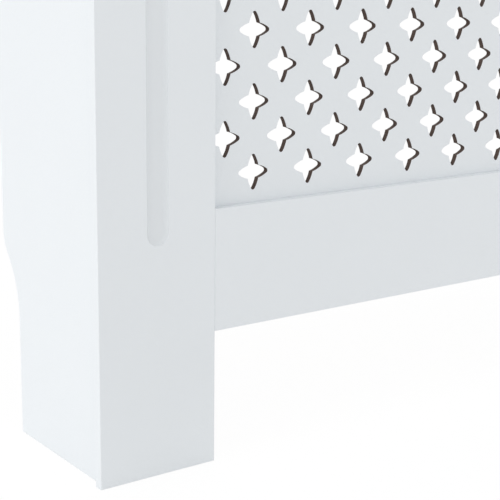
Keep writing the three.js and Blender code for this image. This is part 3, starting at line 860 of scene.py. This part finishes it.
class RADIATORCOVER_OT_brackets(bpy.types.Operator):
    """Two pierced steel strips bent to an angle, which hold the top board to the wall"""

    bl_idname = "radiator_cover.brackets"
    bl_label = "Wall brackets"

    def execute(self, context):
        sizes = context.scene.radiator_cover.fittings
        outer = sizes.bend + sizes.gauge
        curve = (sizes.bend + sizes.gauge / 2) * math.pi / 2
        for side in SIDES:
            node = f"{side}_wall_bracket"
            low, high = box(node)
            half = (high[0] - low[0]) / 2
            flat = high[1] - low[1] - outer
            whole = 2 * flat + curve
            right = np.linspace((half, flat), (half, flat + curve), BEND_STEPS + 1)
            x, y = half - STRIP_ROUND, whole - STRIP_ROUND
            corners = [
                arc(centre, STRIP_ROUND, start, start + 90, STRIP_ROUND_STEPS)
                for centre, start in (
                    ((-x, STRIP_ROUND), 180),
                    ((x, STRIP_ROUND), 270),
                    ((x, y), 0),
                    ((-x, y), 90),
                )
            ]
            outline = np.vstack([*corners[:2], right, *corners[2:], right[::-1] * (-1, 1)])
            before = 2 * (STRIP_ROUND_STEPS + 1)
            ties = [(before + k, len(outline) - 1 - k) for k in range(BEND_STEPS + 1)]
            shell = Shell()
            profile = board_edge(STRIP_ARRIS, sizes.gauge)
            rings = shell.carry(outline, profile)
            spots = [(0, flat + curve + drop - outer) for drop in WALL_HOLE_DROPS]
            holes = np.stack([circle(spot, sizes.wall_hole, WALL_HOLE_SIDES)[::-1] for spot in spots])
            bores = shell.carry(holes, profile)
            shell.lid(rings[0], bores[:, 0], ties=ties)
            shell.lid(rings[-1], bores[:, -1], back=True, ties=ties)
            shell.points = bent(shell.points, flat, curve, outer) * (1, 1, -1)
            middle = (low[0] + high[0]) / 2
            place = ((middle, high[1] - outer, high[2] - outer), (1, 0, 0), (0, 1, 0))
            add_piece(node, "bent_strip", shell, place, get_finishes(ZINC))
        return {"FINISHED"}


# Radii of a pan head and of its flat crown, and the height of the dome between them
PAN_RADIUS, PAN_CROWN, PAN_DOME = 3.6 * MM, 1.9 * MM, 1.5 * MM
SCREW_SIDES, RINGS_A_TURN = 28, 6
RIDGE_SHARE = 3.2  # the thread's pitch over half the width of its ridge
TIP_TAPER, TIP_RADIUS = 3 * MM, 0.05 * MM
LAST_GAP = 0.2 * MM  # least distance from a ring to the tip's
CROSS_REACH, CROSS_HALF = 1.65 * MM, 0.42 * MM
CROSS_DEPTH, CROSS_TAPER = 1.3 * MM, 0.25 * MM


def screw_shell(whole, pan, thread_pitch):
    """A cross head screw along depth: radius is a function of depth and turn, the head's profile at the
    top and below it a core with a ridge that is highest where depth / pitch - turn is whole, fading at
    the tip."""
    if pan:
        seat, core, crest = 2.2 * MM, 1.2 * MM, 1.62 * MM
        a = np.linspace(0, math.pi / 2, 7)
        out = PAN_CROWN + (PAN_RADIUS - PAN_CROWN) * np.sin(a)
        dome = np.stack([out, PAN_DOME * (1 - np.cos(a))], -1)
        head = np.vstack([dome, [(PAN_RADIUS, seat - 0.1 * MM), (3.45 * MM, seat), (core, seat)]])
    else:
        seat, core, crest = 2.1 * MM, 1.15 * MM, 1.6 * MM
        head = np.array([(3.05 * MM, 0), (3.15 * MM, 0.08 * MM), (3.1 * MM, 0.2 * MM), (core, seat)])
    levels = np.arange(seat, whole, thread_pitch / RINGS_A_TURN)[1:]
    levels = np.append(levels[levels < whole - LAST_GAP], whole)
    turn = np.arange(SCREW_SIDES) / SCREW_SIDES
    fade = np.clip((whole - levels) / TIP_TAPER, 0, 1)[:, None]
    phase = (levels[:, None] / thread_pitch - turn + 0.5) % 1 - 0.5
    ridge = np.clip(1 - np.abs(phase) * RIDGE_SHARE, 0, 1) * (crest - core)
    shank = (core + ridge) * fade + TIP_RADIUS * (1 - fade)
    radius = np.vstack([np.broadcast_to(head[:, :1], (len(head), SCREW_SIDES)), shank])
    depth = np.concatenate([head[:, 1], levels])[:, None]
    angle = 2 * math.pi * turn
    shell = Shell()
    grid = np.stack(np.broadcast_arrays(radius * np.cos(angle), radius * np.sin(angle), depth), -1)
    rings = shell.join(shell.add_points(grid))
    arm = np.array([(CROSS_REACH, -CROSS_HALF), (CROSS_REACH, CROSS_HALF), (CROSS_HALF, CROSS_HALF)])
    cross = turned(arm, QUARTER_TURNS).reshape(-1, 2)
    recess = shell.pocket(cross, np.array([(0, 0), (-CROSS_TAPER, CROSS_DEPTH)]))
    shell.lid(rings[0], [recess])
    shell.cap(rings[-1], back=True)
    return shell


class RADIATORCOVER_OT_screws(bpy.types.Operator):
    """Cross head screws: pan heads on grille and brackets, countersunk ones in the battens"""

    bl_idname = "radiator_cover.screws"
    bl_label = "Screws"

    def execute(self, context):
        pitch = context.scene.radiator_cover.fittings.thread_pitch
        for node in [n for n in frame["nodes"] if "_screw_" in n]:
            head, direction, whole = screw_head(node)
            pan = "grille" in node or "bracket" in node
            shell = screw_shell(whole, pan, pitch)
            up = np.array((0.0, 0.0, 1.0) if lies_level(direction) else (0.0, 1.0, 0.0))
            place = (head, np.cross(direction, up), up)
            suffix = "pan_head" if pan else "countersunk"
            add_piece(node, suffix, shell, place, get_finishes(ZINC), crease=50)
        return {"FINISHED"}


DOWEL_SIDES, DOWEL_FLUTES = 60, 15
DOWEL_FLUTE_HALF = 0.12 * MM  # half of the depth of a flute


class RADIATORCOVER_OT_dowels(bpy.types.Operator):
    """Fluted dowels with chamfered ends, glued into stiles and rails"""

    bl_idname = "radiator_cover.dowels"
    bl_label = "Dowels"

    def execute(self, context):
        chamfer = context.scene.radiator_cover.fittings.dowel_chamfer
        for node in [n for n in frame["nodes"] if "_dowel_" in n]:
            low, high = box(node)
            radius, whole = (high[2] - low[2]) / 2, high[0] - low[0]
            angle = np.linspace(0, 2 * math.pi, DOWEL_SIDES, endpoint=False)
            ribbed = radius - DOWEL_FLUTE_HALF * (1 - np.cos(DOWEL_FLUTES * angle))
            profile = np.array([(chamfer, 0), (0, chamfer), (0, whole - chamfer), (chamfer, whole)])
            reach = ribbed - profile[:, :1]
            grid = np.broadcast_arrays(reach * np.cos(angle), reach * np.sin(angle), profile[:, 1:])
            shell = Shell()
            rings = shell.join(shell.add_points(np.stack(grid, -1)))
            shell.cap(rings[0])
            shell.cap(rings[-1], back=True)
            middle = (low + high) / 2
            place = ((low[0], middle[1], middle[2]), (0, -1, 0), (0, 0, 1))
            add_piece(node, "fluted", shell, place, get_finishes("steamed beech"))
        return {"FINISHED"}


KEY_FROM = (-0.93, 0.07, 0.33)  # from the left and slightly behind
FILL_FROM = (0.5, 0.75, 0.35)  # from behind and the right
LAMP_ANGLE = 60  # degrees across, as seen from the cabinet
FLOOR_REACH, FLOOR_DROP = 12, 0.1 * MM  # out from the middle, and down from the cabinet's foot
FLOOR_GLOW = 1.02  # strength of the white that the camera sees
CAMERA_PLACE = (-0.824, -0.861, 0.3967)
CAMERA_YAW, CAMERA_PITCH = math.radians(33.96), math.radians(-11.43)
CAMERA_LENS, CAMERA_SENSOR, CAMERA_SHIFT = 87.92, 36, (0.12, -0.06)


class RADIATORCOVER_OT_studio(bpy.types.Operator):
    """A plain white floor and surround, a key lamp at the left, a weaker one behind, and the camera"""

    bl_idname = "radiator_cover.studio"
    bl_label = "Studio"

    def execute(self, context):
        scene = context.scene
        light = scene.radiator_cover.light
        scene.view_settings.view_transform = "Standard"
        self.make_world(scene, light)
        self.make_floor(scene, light)
        self.add_lamp(scene, "Key", light.key, KEY_FROM)
        self.add_lamp(scene, "Fill", light.fill, FILL_FROM)
        self.add_camera(scene)
        return {"FINISHED"}

    def seen_directly(self, tree):
        """A node that gives one for camera, mirror and glass rays and nought for the rest."""
        path = add_node(tree, "LightPath").outputs
        first = add_node(
            tree, "Math", {0: path["Is Camera Ray"], 1: path["Is Glossy Ray"]}, operation="MAXIMUM"
        )
        return add_node(tree, "Math", {0: first, 1: path["Is Transmission Ray"]}, operation="MAXIMUM")

    def make_world(self, scene, light):
        """Plain white where it is seen, and an even dimmer light where it falls on things."""
        world = bpy.data.worlds.new("Studio surround")
        world.use_nodes = True
        tree = world.node_tree
        tree.nodes.clear()
        cast = add_node(tree, "Background", {"Color": (1, 1, 1, 1), "Strength": light.ambient})
        seen = add_node(tree, "Background", {"Color": (1, 1, 1, 1), "Strength": 1.0})
        direct = self.seen_directly(tree)
        mixed = add_node(tree, "MixShader", {0: direct, 1: cast, 2: seen})
        add_node(tree, "OutputWorld", {"Surface": mixed})
        scene.world = world

    def make_floor(self, scene, light):
        """A wide matt floor that the camera sees as near white, with a share of its own shading left in."""
        material, tree, _ = new_material("studio floor")
        matt = add_node(tree, "BsdfDiffuse", {"Color": shade(scene.radiator_cover.colours.floor)})
        white = add_node(tree, "Emission", {"Color": (1, 1, 1, 1), "Strength": FLOOR_GLOW})
        direct = self.seen_directly(tree)
        share = add_node(tree, "Math", {0: direct, 1: 1 - light.shadow}, operation="MULTIPLY")
        mixed = add_node(tree, "MixShader", {0: share, 1: matt, 2: white})
        add_node(tree, "OutputMaterial", {"Surface": mixed})
        mesh = bpy.data.meshes.new("Floor")
        square = rectangle((-FLOOR_REACH, -FLOOR_REACH), (FLOOR_REACH, FLOOR_REACH))
        corners = np.insert(square, 2, -FLOOR_DROP, axis=1)
        mesh.from_pydata(corners.tolist(), [], [(0, 1, 2, 3)])
        mesh.materials.append(material)
        floor = bpy.data.objects.new("Floor", mesh)
        scene.collection.objects.link(floor)

    def add_lamp(self, scene, name, strength, source):
        """A wide even lamp whose light comes from the direction source and casts soft shadows."""
        lamp = bpy.data.lights.new(name, "SUN")
        lamp.energy = strength
        lamp.angle = math.radians(LAMP_ANGLE)
        holder = bpy.data.objects.new(name, lamp)
        scene.collection.objects.link(holder)
        direction = np.array(source) / np.linalg.norm(source)
        side = np.cross((0, 0, 1), direction)
        side /= np.linalg.norm(side)
        turn = np.column_stack([side, np.cross(direction, side), direction])
        holder.matrix_world = Matrix(turn.tolist()).to_4x4()

    def add_camera(self, scene):
        """The camera at the picture's viewing angle: forward is turned from +Y towards +X by the yaw and
        tipped by the pitch."""
        yaw, pitch = CAMERA_YAW, CAMERA_PITCH
        camera = bpy.data.cameras.new("Camera")
        camera.lens, camera.sensor_width = CAMERA_LENS, CAMERA_SENSOR
        camera.shift_x, camera.shift_y = CAMERA_SHIFT
        camera.clip_start, camera.clip_end = 0.01, 100
        holder = bpy.data.objects.new("Camera", camera)
        scene.collection.objects.link(holder)
        level = math.cos(pitch)
        forward = np.array([math.sin(yaw) * level, math.cos(yaw) * level, math.sin(pitch)])
        right = np.array([math.cos(yaw), -math.sin(yaw), 0])
        turn = np.column_stack([right, np.cross(right, forward), -forward])
        holder.matrix_world = Matrix.Translation(CAMERA_PLACE) @ Matrix(turn.tolist()).to_4x4()
        scene.camera = holder


class RADIATORCOVER_PT_panel(bpy.types.Panel):
    """Lists the steps that build the cabinet"""

    bl_idname = "RADIATORCOVER_PT_panel"
    bl_label = "Radiator Cover"
    bl_space_type = "VIEW_3D"
    bl_region_type = "UI"
    bl_category = "Radiator Cover"

    def draw(self, context):
        for operator in OPERATORS:
            self.layout.operator(operator.bl_idname)
        for name in ("frame", "grille", "top", "fittings", "colours", "light"):
            group = getattr(context.scene.radiator_cover, name)
            column = self.layout.column(align=True)
            for key in group.bl_rna.properties.keys():
                if key not in ("rna_type", "name"):
                    column.prop(group, key)


OPERATORS = (
    RADIATORCOVER_OT_studio,
    RADIATORCOVER_OT_stiles,
    RADIATORCOVER_OT_rails,
    RADIATORCOVER_OT_side_panels,
    RADIATORCOVER_OT_grille,
    RADIATORCOVER_OT_top_board,
    RADIATORCOVER_OT_battens,
    RADIATORCOVER_OT_brackets,
    RADIATORCOVER_OT_screws,
    RADIATORCOVER_OT_dowels,
)
GROUPS = (FrameSizes, GrilleSizes, TopSizes, FittingSizes, FinishColours, StudioLight, CabinetSettings)
CLASSES = (*GROUPS, *OPERATORS, RADIATORCOVER_PT_panel)


def register():
    for cls in CLASSES:
        bpy.utils.register_class(cls)
    bpy.types.Scene.radiator_cover = PointerProperty(type=CabinetSettings)


def unregister():
    del bpy.types.Scene.radiator_cover
    for cls in reversed(CLASSES):
        bpy.utils.unregister_class(cls)


def main():
    """Builds the studio and every piece."""
    register()
    for operator in OPERATORS:
        group, name = operator.bl_idname.split(".")
        getattr(getattr(bpy.ops, group), name)()


if __name__ == "__main__":
    main()
